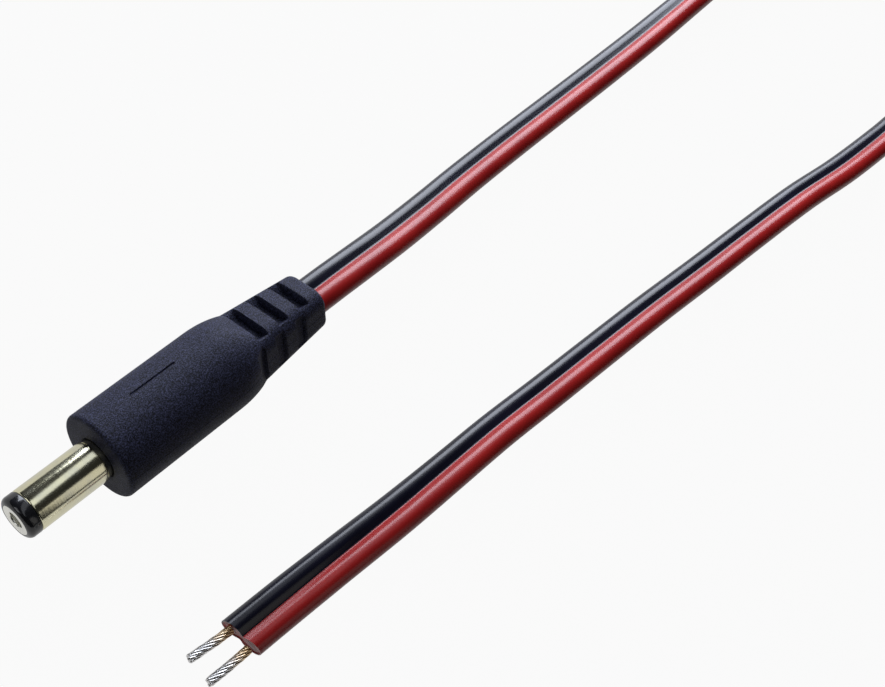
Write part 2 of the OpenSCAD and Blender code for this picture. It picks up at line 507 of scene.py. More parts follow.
@dataclass(frozen=True)
class WhitePaper:
    """White sweep that shows white to the camera and in reflections, and keeps a soft shadow."""

    name: str = "white_paper"
    colour: Colour = (0.12, 0.12, 0.12)
    white: Colour = (1.0, 1.0, 1.0)
    lift: float = 0.95
    mirrored: float = 0.68
    roughness: float = 0.9

    def build(self) -> bpy.types.Material:
        """Makes the material.

        Returns:
            The material.
        """
        tree = Finish(self.name)
        tree.surface(Base_Color=self.colour, Roughness=self.roughness)
        camera, glossy, through = (
            tree.add("ShaderNodeLightPath", {}, {}, f"Is {ray} Ray")
            for ray in ("Camera", "Glossy", "Transmission")
        )
        seen = ((camera + through) * self.lift + glossy * self.mirrored).clipped()
        glow = tree.add("ShaderNodeEmission", {}, {"Color": self.white, "Strength": 1.0})
        mixed = tree.add("ShaderNodeMixShader", {}, {0: seen, 1: tree.principled, 2: glow})
        tree.feed(tree.output.inputs["Surface"], mixed)
        return tree.material


# ---- mesh tools ----


def make_piece(
    name: str,
    points: Sequence[Vector],
    faces: Sequence[Sequence[int]],
    materials: Sequence[bpy.types.Material],
    replaced: Sequence[str],
    face_finish: Sequence[int] | None = None,
    smooth_angle: float = 40.0,
) -> bpy.types.Object:
    """Makes a smooth-shaded mesh piece that rides on the root body.

    Args:
        name: the piece's name.
        points: its vertices in the row frame, in metres.
        faces: its faces.
        materials: its finishes.
        replaced: the CAD nodes that it stands for.
        face_finish: each face's finish, where there is more than one.
        smooth_angle: edges sharper than this, in degrees, stay crisp.

    Returns:
        The piece.
    """
    mesh = bpy.data.meshes.new(name)
    mesh.from_pydata([tuple(p) for p in points], [], [tuple(f) for f in faces])
    for material in materials:
        mesh.materials.append(material)
    if face_finish is not None:
        mesh.polygons.foreach_set("material_index", list(face_finish))
    clean = bmesh.new()
    clean.from_mesh(mesh)
    bmesh.ops.remove_doubles(clean, verts=clean.verts, dist=WELD)
    bmesh.ops.recalc_face_normals(clean, faces=clean.faces)
    clean.to_mesh(mesh)
    clean.free()
    mesh.shade_smooth()
    mesh.set_sharp_from_angle(angle=math.radians(smooth_angle))
    piece = bpy.data.objects.new(name, mesh)
    bpy.context.scene.collection.objects.link(piece)
    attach(piece, Body.ROOT.value)
    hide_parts(*replaced)
    log.info("%s: %d faces", name, len(mesh.polygons))
    return piece


def ring_faces(rings: int, around: int, closed: bool = False) -> list[tuple[int, ...]]:
    """The quads between rings of points.

    Args:
        rings: how many rings.
        around: points in a ring.
        closed: whether the last ring joins the first.

    Returns:
        The faces.
    """
    faces: list[tuple[int, ...]] = []
    for j in range(rings if closed else rings - 1):
        a, b = j * around, (j + 1) % rings * around
        for i in range(around):
            k = (i + 1) % around
            faces.append((a + i, a + k, b + k, b + i))
    return faces


def corner(
    centre: tuple[float, float],
    radius: float,
    start: float,
    end: float,
    steps: int = 6,
) -> list[tuple[float, float]]:
    """Points of an arc in a profile.

    Args:
        centre: the arc's centre as (place along, radius).
        radius: the arc's own radius.
        start: its first angle in degrees.
        end: its last angle.
        steps: how many parts it has.

    Returns:
        The points.
    """
    angles = [math.radians(start + (end - start) * i / steps) for i in range(steps + 1)]
    return [(centre[0] + radius * math.cos(a), centre[1] + radius * math.sin(a)) for a in angles]


def smooth_rise(value: float, low: float, high: float) -> float:
    """A smooth rise from 0 at low to 1 at high."""
    t = min(max((value - low) / (high - low), 0.0), 1.0)
    return t * t * (3 - 2 * t)


def rounded_reach(angle: float, half_width: float, half_height: float, round_off: float) -> float:
    """How far a rounded rectangle reaches from its centre in one direction.

    Args:
        angle: the direction in radians, 0 across and a quarter turn up.
        half_width: the rectangle's half-width.
        half_height: its half-height.
        round_off: its corners' radius.

    Returns:
        The distance.
    """
    c, s = abs(math.cos(angle)), abs(math.sin(angle))
    w, h = half_width - round_off, half_height - round_off
    if c > TINY and half_width / c * s <= h:
        return half_width / c
    if s > TINY and half_height / s * c <= w:
        return half_height / s
    along = w * c + h * s
    return along + math.sqrt(max(along * along - w * w - h * h + round_off * round_off, 0.0))


@dataclass
class PlugAxis:
    """Where the plug lies: its axis runs along X and it is turned about that axis."""

    front: float
    height: float
    roll: float = 29.0

    def place(self, along: float, across: float, up: float) -> Vector:
        """Puts a point of the plug, in millimetres from the housing's front face, in the row frame.

        Args:
            along: distance behind the front face.
            across: distance to the plug's own left.
            up: distance above its axis, towards its marked side.

        Returns:
            The point in metres.
        """
        turn = math.radians(self.roll)
        y = across * math.cos(turn) + up * math.sin(turn)
        z = -across * math.sin(turn) + up * math.cos(turn)
        return Vector((self.front + along, y, self.height + z)) * MM

    def turned(self, profile: Pairs, around: int = 96) -> tuple[list[Vector], list[tuple[int, ...]]]:
        """A closed profile turned about the plug's axis.

        Args:
            profile: points as (along, radius), in a closed loop.
            around: points in each ring.

        Returns:
            The points and faces.
        """
        points = []
        for along, radius in profile:
            for i in range(around):
                a = math.tau * i / around
                points.append(self.place(along, radius * math.cos(a), radius * math.sin(a)))
        return points, ring_faces(len(profile), around, closed=True)


# ---- sub-assemblies ----


@dataclass
class Barrel:
    """The turned contacts and the insulator at the tip, in millimetres."""

    axis: PlugAxis
    around: int = 128
    sleeve_radius: float = 2.75
    sleeve_wall: float = 0.4
    sleeve_length: float = 10.0
    sleeve_tail: float = 3.0
    rim_round: float = 0.22
    groove_back: float = 0.6
    groove_width: float = 0.14
    groove_depth: float = 0.24
    groove_edge: float = 0.03
    seat_radius: float = 2.58
    tip_length: float = 1.7
    tip_round: float = 0.7
    tip_edge: float = 0.1
    liner_end: float = 1.0
    play: float = 0.03
    contact_radius: float = 1.5
    contact_tail: float = 1.6
    bore_radius: float = 1.05
    bore_length: float = 10.5
    lead_in: float = 0.25
    flange_radius: float = 2.05
    flange_thickness: float = 0.3
    flange_edge: float = 0.08
    pin_radius: float = 0.8
    pin_end: float = 8.6

    @property
    def tip(self) -> float:
        """The barrel's front end, measured from the housing's front face."""
        return -self.sleeve_length - self.tip_length

    def build(
        self,
        nickel: bpy.types.Material,
        silver: bpy.types.Material,
        black: bpy.types.Material,
    ) -> None:
        """Builds the sleeve, the insulator and the inner contact.

        Args:
            nickel: the sleeve's finish.
            silver: the inner contact's finish.
            black: the insulator's finish.
        """
        self._sleeve(nickel)
        self._insulator(black)
        self._contact(silver)

    def _sleeve(self, finish: bpy.types.Material) -> None:
        """Builds the outer contact: a thin tube with a rolled rim and a fine groove near the housing.

        Args:
            finish: its material.
        """
        r, edge = self.sleeve_radius, self.groove_edge
        inside = r - self.sleeve_wall
        front, back = -self.sleeve_length, -self.groove_back
        groove_front, groove_radius = back - self.groove_width, r - self.groove_depth
        profile = [(self.sleeve_tail, inside), (front, inside), (front, r - self.rim_round)]
        profile += corner((front + self.rim_round, r - self.rim_round), self.rim_round, 180, 90)
        profile += [
            (groove_front - edge, r),
            (groove_front, r - edge),
            (groove_front + edge, groove_radius),
            (back - edge, groove_radius),
            (back, self.seat_radius - edge),
            (back + edge, self.seat_radius),
            (self.sleeve_tail, self.seat_radius),
        ]
        points, faces = self.axis.turned(profile, self.around)
        make_piece("contact_sleeve", points, faces, [finish], ["outer_contact_sleeve"])

    def _insulator(self, finish: bpy.types.Material) -> None:
        """Builds the black ring at the tip, with its liner inside the sleeve.

        Args:
            finish: its material.
        """
        r, tip, edge = self.sleeve_radius, self.tip, self.tip_edge
        liner = r - self.sleeve_wall - self.play
        bore, recess = self.contact_radius + self.play, self.flange_radius + self.play
        seat, back = tip + self.flange_thickness, -self.sleeve_length - self.play
        profile = [(self.liner_end, bore), (seat, bore), (seat, recess), (tip + edge, recess)]
        profile += corner((tip + edge, recess + edge), edge, 270, 180, 3)
        profile += corner((tip + self.tip_round, r - self.tip_round), self.tip_round, 180, 90, 10)
        profile += corner((back - edge, r - edge), edge, 90, 0, 3)
        profile += [(back, liner), (self.liner_end, liner)]
        points, faces = self.axis.turned(profile, self.around)
        make_piece("tip_ring", points, faces, [finish], ["tip_insulator"])

    def _contact(self, finish: bpy.types.Material) -> None:
        """Builds the inner contact, flared over the insulator at the tip.

        Args:
            finish: its material.
        """
        tip, edge, lead_in, bore = self.tip, self.flange_edge, self.lead_in, self.bore_radius
        bottom, flange_back = tip + self.bore_length, tip + self.flange_thickness
        profile = [(bottom, AXIS_HOLE), (bottom, bore), (tip + lead_in, bore)]
        profile += corner((tip + lead_in, bore + lead_in), lead_in, 270, 180, 5)
        profile += corner((tip + edge, self.flange_radius - edge), edge, 180, 90, 4)
        profile += [
            (flange_back, self.flange_radius),
            (flange_back, self.contact_radius),
            (self.contact_tail, self.contact_radius),
            (self.contact_tail, self.pin_radius),
            (self.pin_end, self.pin_radius),
            (self.pin_end, AXIS_HOLE),
        ]
        points, faces = self.axis.turned(profile)
        make_piece("contact_tube", points, faces, [finish], ["inner_contact_tube"])


@dataclass
class Housing:
    """The soft moulding with its round body, shoulder and slotted strain relief, in millimetres."""

    axis: PlugAxis
    radius: float = 5.75
    body_length: float = 17.5
    shoulder_length: float = 5.3
    shoulder_power: float = 2.2
    relief_length: float = 11.3
    relief_start: tuple[float, float] = (4.3, 4.0)
    relief_end: tuple[float, float] = (3.45, 3.05)
    corner_share: float = 0.6
    corner_loss: float = 0.5
    front_round: float = 0.5
    end_round: float = 0.6
    end_inset: float = 0.8
    slots: int = 3
    slot_lead: float = 0.05
    slot_pitch: float = 3.65
    slot_width: float = 1.6
    wall_slope: float = 0.16
    top_depth: float = 1.3
    side_depth: float = 0.5
    top_span: float = 0.75
    side_span: float = 0.7
    span_blend: Range = (-0.14, 0.06)
    mark_start: float = 6.0
    mark_length: float = 6.7
    mark_width: float = 0.3
    mark_depth: float = 0.2
    mark_blend: Range = (-0.02, 0.05)
    mark_angles: Sequence[float] = (0.7, 1.2, 1.35, 1.5, 1.65, 1.8, 2.2)
    seam_height: float = 0.03
    seam_half_width: float = 0.07
    seam_angles: Sequence[float] = (0.3, 0.8)
    around: int = 240
    ring_step: float = 0.085
    fine_lead: float = 1.6
    seat_play: float = 0.15
    seat_depth: float = 1.0
    hole_edge: float = 0.06
    core_radius: float = CORE_RADIUS
    core_offset: float = 1.475
    cable_web: float = 0.8
    cable_web_reach: float = 0.95
    cable_play: float = 0.05
    cable_depth: float = 1.2

    @property
    def length(self) -> float:
        """The moulding's whole length."""
        return self.body_length + self.shoulder_length + self.relief_length

    @property
    def slots_from(self) -> float:
        """Where the first slot in the top starts."""
        return self.body_length + self.shoulder_length + self.slot_lead

    @property
    def mark_end(self) -> float:
        """Where the orientation mark ends."""
        return self.mark_start + self.mark_length

    def _section(self, along: float) -> tuple[float, float, float]:
        """The outline at a place along the moulding.

        Args:
            along: distance behind the front face.

        Returns:
            The half-width, half-height and corner radius.
        """
        share = min(max((along - self.body_length) / self.shoulder_length, 0.0), 1.0)
        rise = share**self.shoulder_power
        run = max(along - self.body_length - self.shoulder_length, 0.0) / self.relief_length
        half_width, half_height = [
            self.radius + (a - self.radius) * rise + (b - a) * run
            for a, b in zip(self.relief_start, self.relief_end)
        ]
        relief_corner = self.relief_start[1] * self.corner_share
        round_off = self.radius + (relief_corner - self.radius) * rise - self.corner_loss * run
        return half_width, half_height, round_off

    def _opening(self, along: float, first: float) -> float:
        """How open a row of slots is at a place.

        Args:
            along: distance behind the front face.
            first: where the row's first slot starts.

        Returns:
            0 on a rib and 1 in a slot.
        """
        best = 0.0
        for i in range(self.slots):
            start = first + i * self.slot_pitch
            inside = min(along - start, start + self.slot_width - along)
            best = max(best, smooth_rise(inside, -self.wall_slope / 2, self.wall_slope))
        return best

    def _sunk(self, outer: float, floor: float, inside: float, opening: float) -> float:
        """Sinks the surface towards a slot's floor.

        Args:
            outer: the surface's distance from the axis.
            floor: the slot floor's distance.
            inside: how far the point is inside the slot's span.
            opening: how open the slot is there.

        Returns:
            The new distance.
        """
        reach = smooth_rise(inside, *self.span_blend) * opening
        return outer + (min(floor, outer) - outer) * reach

    def _radius_at(self, along: float, angle: float) -> float:
        """The surface's distance from the axis.

        Args:
            along: distance behind the front face.
            angle: direction round the axis in radians, a quarter turn at the marked side.

        Returns:
            The distance.
        """
        half_width, half_height, round_off = self._section(along)
        outer = rounded_reach(angle, half_width, half_height, round_off)
        across, up = abs(outer * math.cos(angle)), abs(outer * math.sin(angle))
        open_top = self._opening(along, self.slots_from)
        open_side = self._opening(along, self.slots_from - self.slot_width)
        if open_top > 0 and up > half_height - round_off:
            floor = (half_height - self.top_depth) / abs(math.sin(angle))
            outer = self._sunk(outer, floor, self.top_span * half_width - across, open_top)
        if open_side > 0 and across > half_width - round_off:
            floor = (half_width - self.side_depth) / abs(math.cos(angle))
            outer = self._sunk(outer, floor, self.side_span * half_height - up, open_side)
        from_top = abs(math.remainder(angle - math.pi / 2, math.tau)) * outer
        in_length = smooth_rise(min(along - self.mark_start, self.mark_end - along), *self.mark_blend)
        in_width = smooth_rise(self.mark_width / 2 - from_top, *self.mark_blend)
        seam = min(abs(math.remainder(angle, math.pi)) * outer / self.seam_half_width, 1.0)
        return outer - in_length * in_width * self.mark_depth + (1 - seam) * self.seam_height

    def _cable_reach(self, angle: float) -> float:
        """How far the cable's hole reaches from the axis.

        Args:
            angle: direction round the axis in radians.

        Returns:
            The distance.
        """
        c, s = abs(math.cos(angle)), abs(math.sin(angle))
        along = self.core_offset * c
        rest = along * along - self.core_offset**2 + self.core_radius**2
        web = min(self.cable_web / max(s, TINY), self.cable_web_reach)
        return max(along + math.sqrt(rest), web) if rest > 0 else web

    def _directions(self) -> list[float]:
        """The angles of the points in a ring, closer together at the mark and at the parting line.

        Returns:
            The angles in radians, in order.
        """
        angles = {round(math.tau * i / self.around, 6) for i in range(self.around)}
        fine = [(math.pi / 2, a) for a in self.mark_angles]
        fine += [(side, a) for side in (0.0, math.pi) for a in self.seam_angles]
        for middle, extra in fine:
            for way in (-1, 1):
                angles.add(round((middle + way * math.radians(extra)) % math.tau, 6))
        return sorted(angles)

    def _places(self) -> list[float]:
        """The places of the outer rings, closer together where the shape changes.

        Returns:
            The places behind the front face, in order.
        """
        places = [self.front_round * (1 - math.cos(math.radians(a))) for a in (30, 50, 70, 90)]
        even = ((0.7, 0.4, 13), (self.mark_start + 0.6, 0.6, 10), (self.mark_end + 0.5, 0.5, 12))
        for first, step, count in even:
            places += [first + step * i for i in range(count)]
        for end, inwards in ((self.mark_start, 0.3), (self.mark_end, -0.3)):
            places += [end + d for d in (-0.06, -0.02, 0.02, 0.06, inwards)]
        fine_from, fine_to = self.body_length + self.fine_lead, self.length - self.end_round
        steps = round((fine_to - fine_from) / self.ring_step)
        places += [fine_from + (fine_to - fine_from) * i / steps for i in range(steps + 1)]
        return sorted({round(p, 4) for p in places})

    def _front_rings(self, around: int, hole: float) -> list[RoundSection]:
        """The rings of the sleeve's seat and of the flat front face.

        Args:
            around: points in a ring.
            hole: the seat's radius.

        Returns:
            The rings.
        """
        edge, rim = hole + self.hole_edge, self.radius - self.front_round
        rounds = [(self.seat_depth, hole), (self.hole_edge, hole), (0.0, edge)]
        rounds += [(0.0, edge + (rim - edge) * share) for share in (0.25, 0.5, 0.75, 1.0)]
        return [(along, [radius] * around) for along, radius in rounds]

    def _outer_rings(self, angles: Sequence[float]) -> list[RoundSection]:
        """The rings of the outside, with its rounded front and end.

        Args:
            angles: the directions of a ring's points.

        Returns:
            The rings.
        """
        insets = []
        for along in self._places():
            short = max(self.front_round - along, 0.0)
            insets.append((along, self.front_round - math.sqrt(self.front_round**2 - short**2)))
        for lean in (15, 30, 45, 60, 75, 90):
            turn = math.radians(lean)
            along = self.length - self.end_round + self.end_round * math.sin(turn)
            insets.append((along, self.end_round * (1 - math.cos(turn)) * self.end_inset))
        return [(along, [self._radius_at(along, a) - inset for a in angles]) for along, inset in insets]

    def _end_rings(self, angles: Sequence[float], rim: Sequence[float]) -> list[RoundSection]:
        """The rings of the end face and of the cable's hole.

        Args:
            angles: the directions of a ring's points.
            rim: the distances of the outside's last ring.

        Returns:
            The rings.
        """
        hole = [self._cable_reach(a) + self.cable_play for a in angles]
        rings = []
        for share in (0.25, 0.5, 0.75, 0.95):
            rings.append((self.length, [o + (h - o) * share for o, h in zip(rim, hole)]))
        return [*rings, (self.length - self.hole_edge, hole), (self.length - self.cable_depth, hole)]

    def build(self, finish: bpy.types.Material, barrel_radius: float) -> None:
        """Builds the moulding.

        Args:
            finish: its material.
            barrel_radius: the radius of the barrel's seat, which the front face leaves room for.
        """
        angles = self._directions()
        rings = self._front_rings(len(angles), barrel_radius + self.seat_play)
        rings += self._outer_rings(angles)
        rings += self._end_rings(angles, rings[-1][1])
        points = [
            self.axis.place(along, reach * math.cos(a), reach * math.sin(a))
            for along, ring in rings
            for a, reach in zip(angles, ring)
        ]
        faces = ring_faces(len(rings), len(angles))
        make_piece(
            "moulding", points, faces, [finish], ["moulded_housing"], smooth_angle=55
        )


@dataclass
class CablePoint:
    """One place along the cable: where it is and how its flat section is turned there."""

    spot: Vector
    turn: float


@dataclass
class TwinCable:
    """Two bonded cores on one route: from the plug, round the hank and on to the bare ends."""

    core_radius: float = CORE_RADIUS
    core_offset: float = 1.45
    web: float = 0.78
    groove_angle: float = 145.0
    core_steps: int = 14
    cut_slant: float = 0.19
    cut_rings: Pairs = ((0.9, 0.0), (0.86, 0.12))
    hank_start: float = 178.0
    hank_end: float = 238.0
    hank_middle: float = -16.0
    hank_outer: float = 18.4
    hank_layers: tuple[float, float] = (3.5, 9.7)
    hank_climb: Range = (0.46, 0.54)
    hank_turns: int = 5
    turn_pitch: float = 3.1
    run_steps: int = 8
    bend_steps: int = 10
    rest_angle: float = 90.0
    step_seen: float = 0.9
    wide_gap: float = 4.5
    plug_route: Sequence[Station] = (
        (22.95, 0, 5.75, 29), (27, 0, 5.7, 29), (33, 0, 5.2, 30), (40, 0.1, 4.2, 31),
        (48, 0.4, 3.2, 32), (57, 0.8, 2.6, 33), (67, 1, 2.4, 34), (78, 1.1, 2.35, 35),
        (90, 1.2, 2.4, 36), (102, 1.4, 2.45, 38), (114, 1.8, 2.5, 42), (126, 2.1, 2.75, 50),
        (138, 2.3, 3, 62), (148, 2.4, 3.15, 74), (158, 2.4, 3.4, 86), (167, 2.4, 3.5, 90),
    )
    free_route: Sequence[Station] = (
        (167, -34.4, 9.6, 90), (159, -34.7, 8.6, 86), (150, -35.4, 6.4, 72), (141, -36, 4.3, 58),
        (132, -36.3, 3, 48), (124, -36, 2.55, 42), (114, -35.2, 2.5, 39), (103, -33.8, 2.45, 38),
        (90, -32.7, 2.45, 38), (78, -31.8, 2.4, 37), (66, -30.8, 2.4, 36), (54, -30, 2.35, 35),
        (43, -29.3, 2.35, 34), (33, -28.6, 2.3, 32), (23, -28.2, 2.25, 29), (14, -27.8, 2.1, 22),
        (5, -27.2, 1.9, 13), (-3, -26.7, 1.65, 4), (-11, -26.3, 1.55, 0),
    )
    points: list[CablePoint] = field(default_factory=list)

    def _hank(self) -> list[Station]:
        """The hank's turns: inwards in the lower layer and outwards in the upper one.

        Returns:
            The stations.
        """
        straight = self.hank_end - self.hank_start
        low, high = self.hank_layers
        stations = []
        half_turns = 2 * self.hank_turns + 2
        for half in range(half_turns):
            way = 1 if half % 2 == 0 else -1
            legs = [(Leg.RUN, straight * i / self.run_steps) for i in range(self.run_steps)]
            if half < half_turns - 1:
                legs += [(Leg.BEND, math.pi * i / self.bend_steps) for i in range(self.bend_steps)]
            else:
                legs.append((Leg.RUN, straight))
            for i, (leg, amount) in enumerate(legs):
                share = (half + i / len(legs)) / half_turns
                inward = 1 - abs(2 * share - 1)
                radius = self.hank_outer - self.turn_pitch * self.hank_turns / 2 * inward
                height = low + (high - low) * smooth_rise(share, *self.hank_climb)
                from_x = self.hank_start if way > 0 else self.hank_end
                if leg is Leg.RUN:
                    x, y = from_x + way * amount, self.hank_middle + way * radius
                else:
                    x = from_x + way * (straight + radius * math.sin(amount))
                    y = self.hank_middle + way * radius * math.cos(amount)
                stations.append((x, y, height, self.rest_angle))
        return stations

    def _stations(self) -> list[Station]:
        """Every station from the plug to the bare ends; past the hank the section goes on turning."""
        free = [(x, y, z, 180 - turn) for x, y, z, turn in self.free_route]
        return [*self.plug_route, *self._hank(), *free]

    def lay(self) -> None:
        """Smooths the stations into closely spaced points."""
        stations = self._stations()
        for i in range(len(stations) - 1):
            four = [stations[min(max(i + d, 0), len(stations) - 1)] for d in (-1, 0, 1, 2)]
            gap = math.dist(four[1][:3], four[2][:3])
            count = round(gap / self.step_seen) if gap > self.wide_gap else 1
            for j in range(count):
                self.points.append(self._between(four, j / count))
        x, y, z, turn = stations[-1]
        self.points.append(CablePoint(Vector((x, y, z)), turn))

    @staticmethod
    def _between(four: Sequence[Station], t: float) -> CablePoint:
        """A point on the smooth curve through four stations, between the middle two.

        Args:
            four: the stations.
            t: the share of the way from the second to the third.

        Returns:
            The point.
        """
        value = []
        for p, q, r, s in zip(*four):
            pull = (r - p) * t + (2 * p - 5 * q + 4 * r - s) * t * t + (3 * q - p - 3 * r + s) * t**3
            value.append(0.5 * (2 * q + pull))
        return CablePoint(Vector(value[:3]), value[3])

    def heading(self, i: int) -> Vector:
        """The cable's direction at a point.

        Args:
            i: the point's number.

        Returns:
            The direction.
        """
        ahead = self.points[min(i + 1, len(self.points) - 1)].spot
        behind = self.points[max(i - 1, 0)].spot
        return (ahead - behind).normalized()

    def sides(self, i: int) -> tuple[Vector, Vector]:
        """The flat section's own directions at a point.

        Args:
            i: the point's number.

        Returns:
            The directions towards the red core and through the thickness.
        """
        along = self.heading(i)
        level = Vector((0, 0, 1)).cross(along).normalized()
        up = along.cross(level)
        turn = math.radians(self.points[i].turn)
        red = -level * math.cos(turn) + up * math.sin(turn)
        return red, along.cross(red)

    def _outline(self) -> list[tuple[float, float]]:
        """The section's outline, first round the red core and then round the black one.

        Returns:
            The points as (towards the red core, through the thickness).
        """
        red = []
        for i in range(self.core_steps + 1):
            a = math.radians(-self.groove_angle + 2 * self.groove_angle * i / self.core_steps)
            x, y = math.cos(a), math.sin(a)
            red.append((self.core_offset + self.core_radius * x, self.core_radius * y))
        black = [(-x, -y) for x, y in red]
        return [(0.0, -self.web), *red, (0.0, self.web), *black]

    @property
    def length(self) -> float:
        """The route's length in millimetres."""
        return sum((b.spot - a.spot).length for a, b in zip(self.points, self.points[1:]))

    def _cut_end(self) -> list[Vector]:
        """The rings of the slanting cut at the bare end, drawn in a little round each core.

        Returns:
            The rings' points in metres.
        """
        last = len(self.points) - 1
        side, thick = self.sides(last)
        along = self.heading(last)
        points = []
        for share, back in self.cut_rings:
            for x, y in self._outline():
                centre = math.copysign(self.core_offset, x) if x else 0.0
                across = centre + (x - centre) * share
                spot = self.points[last].spot + side * across + thick * (y * share)
                points.append((spot - along * (self.cut_slant * across + back)) * MM)
        return points

    def build(self, red: bpy.types.Material, black: bpy.types.Material) -> bpy.types.Object:
        """Builds the insulation.

        Args:
            red: the red core's finish.
            black: the black core's finish.

        Returns:
            The piece.
        """
        outline = self._outline()
        around, last = len(outline), len(self.points) - 1
        points: list[Vector] = []
        for i, point in enumerate(self.points):
            side, thick = self.sides(i)
            for x, y in outline:
                slant = self.heading(i) * (self.cut_slant * x) if i == last else Vector()
                points.append((point.spot + side * x + thick * y - slant) * MM)
        points += self._cut_end()
        rings = len(self.points) + len(self.cut_rings)
        faces = ring_faces(rings, around)
        coloured = len(faces) - around
        finish = [
            Core.BLACK.value if i < coloured and i % around >= around // 2 else Core.RED.value
            for i in range(len(faces))
        ]
        end = (rings - 1) * around
        faces += [tuple(range(end, end + around)), tuple(reversed(range(around)))]
        finish += [Core.RED.value, Core.RED.value]
        return make_piece(
            "twin_cable", points, faces, [red, black],
            ["cable_plug_side", "cable_hank", "cable_free_side"], finish, 60,
        )

    def declare(self) -> None:
        """Works out the cable's exit point, path and length in metres, and uses none of them.
        """
        exit_point = tuple(self.points[0].spot * MM)
        path = [tuple(p.spot * MM) for p in self.points]
        round(self.length * MM, 3)


@dataclass
class TinnedEnd:
    """A bundle of twisted strands, fused by solder, in millimetres."""

    name: str
    node: str
    start: Place
    splay: float
    seed: int
    length: float = 6.3
    radius: float = 0.6
    strands: int = 9
    lay: float = 8.0
    lobe: float = 0.11
    wobble: float = 0.035
    ragged: float = 0.3
    tip_from: float = 0.93
    tip_taper: float = 0.2
    bow: float = 0.05
    bow_waves: float = 1.3
    cap_inset: float = 0.15
    strand_steps: int = 8
    rings: int = 90

    def build(self, finish: bpy.types.Material) -> bpy.types.Object:
        """Builds the bundle.

        Args:
            finish: its material.

        Returns:
            The piece.
        """
        draw = random.Random(self.seed)
        wobble = [draw.uniform(-self.wobble, self.wobble) for _ in range(self.strands)]
        cut = [draw.uniform(-self.ragged, 0.0) for _ in range(self.strands)]
        turn = math.radians(180 - self.splay)
        along = Vector((math.cos(turn), math.sin(turn), 0))
        across = Vector((-along.y, along.x, 0))
        up = Vector((0, 0, 1))
        origin = Vector(self.start)
        around = self.strands * self.strand_steps
        points: list[Vector] = []
        for j in range(self.rings + 1):
            share = j / self.rings
            tip = smooth_rise(share, self.tip_from, 1.0)
            bend = self.bow * math.sin(share * math.pi * self.bow_waves)
            for i in range(around):
                a = math.tau * i / around
                strand = int(a / math.tau * self.strands) % self.strands
                bulge = abs(math.sin(a * self.strands / 2))
                reach = self.radius - self.lobe * (1 - bulge) + wobble[strand] * bulge
                reach = min(reach, self.radius) * (1 - self.tip_taper * tip * tip)
                place = self.length * share + cut[strand] * tip
                spin = a + math.tau * self.length * share / self.lay
                spot = origin + along * place + across * (reach * math.cos(spin) + bend)
                points.append((spot + up * (reach * math.sin(spin))) * MM)
        faces = ring_faces(self.rings + 1, around)
        for rim, place in ((0, 0.0), (self.rings * around, self.length - self.cap_inset)):
            hub = len(points)
            points.append((origin + along * place) * MM)
            faces += [(rim + i, rim + (i + 1) % around, hub) for i in range(around)]
        return make_piece(
            self.name, points, faces, [finish], [self.node], smooth_angle=70
        )


@dataclass
class HankTie:
    """A soft strap round the hank, in millimetres.

    Its section is a loop of (share of the thickness inwards, share of the width) pairs.
    """

    centre: tuple[float, float] = (208.0, -16.0)
    width: float = 3.0
    thickness: float = 0.4
    half_band: float = 20.25
    height: float = 12.5
    round_off: float = 2.2
    section: Pairs = ((0.0, -0.42), (0.0, 0.42), (0.08, 0.5), (1.0, 0.5), (1.0, -0.5), (0.08, -0.5))
    around: int = 96

    def build(self, finish: bpy.types.Material) -> bpy.types.Object:
        """Builds the strap.

        Args:
            finish: its material.

        Returns:
            The piece.
        """
        half_width, half_height = self.half_band + self.thickness, self.height / 2 + self.thickness
        centre = Vector((*self.centre, half_height))
        points = []
        for inwards, sideways in self.section:
            drop = inwards * self.thickness
            for i in range(self.around):
                a = math.tau * i / self.around
                reach = rounded_reach(a, half_width - drop, half_height - drop, self.round_off)
                spot = Vector((sideways * self.width, reach * math.cos(a), reach * math.sin(a)))
                points.append((centre + spot) * MM)
        faces = ring_faces(len(self.section), self.around, closed=True)
        return make_piece("hank_strap", points, faces, [finish], ["hank_tie"])


@dataclass(frozen=True)
class Lamp:
    """One soft rectangular lamp, in millimetres and watts."""

    name: str
    spot: Place
    aim: Place
    size: tuple[float, float]
    power: float
    colour: Colour

    def build(self) -> None:
        """Makes the lamp."""
        data = bpy.data.lights.new(self.name, "AREA")
        data.shape = "RECTANGLE"
        data.size, data.size_y = self.size[0] * MM, self.size[1] * MM
        data.energy = self.power
        data.color = self.colour
        lamp = bpy.data.objects.new(self.name, data)
        bpy.context.scene.collection.objects.link(lamp)
        lamp.location = Vector(self.spot) * MM
        lamp.rotation_euler = (Vector(self.spot) - Vector(self.aim)).to_track_quat("Z", "Y").to_euler()


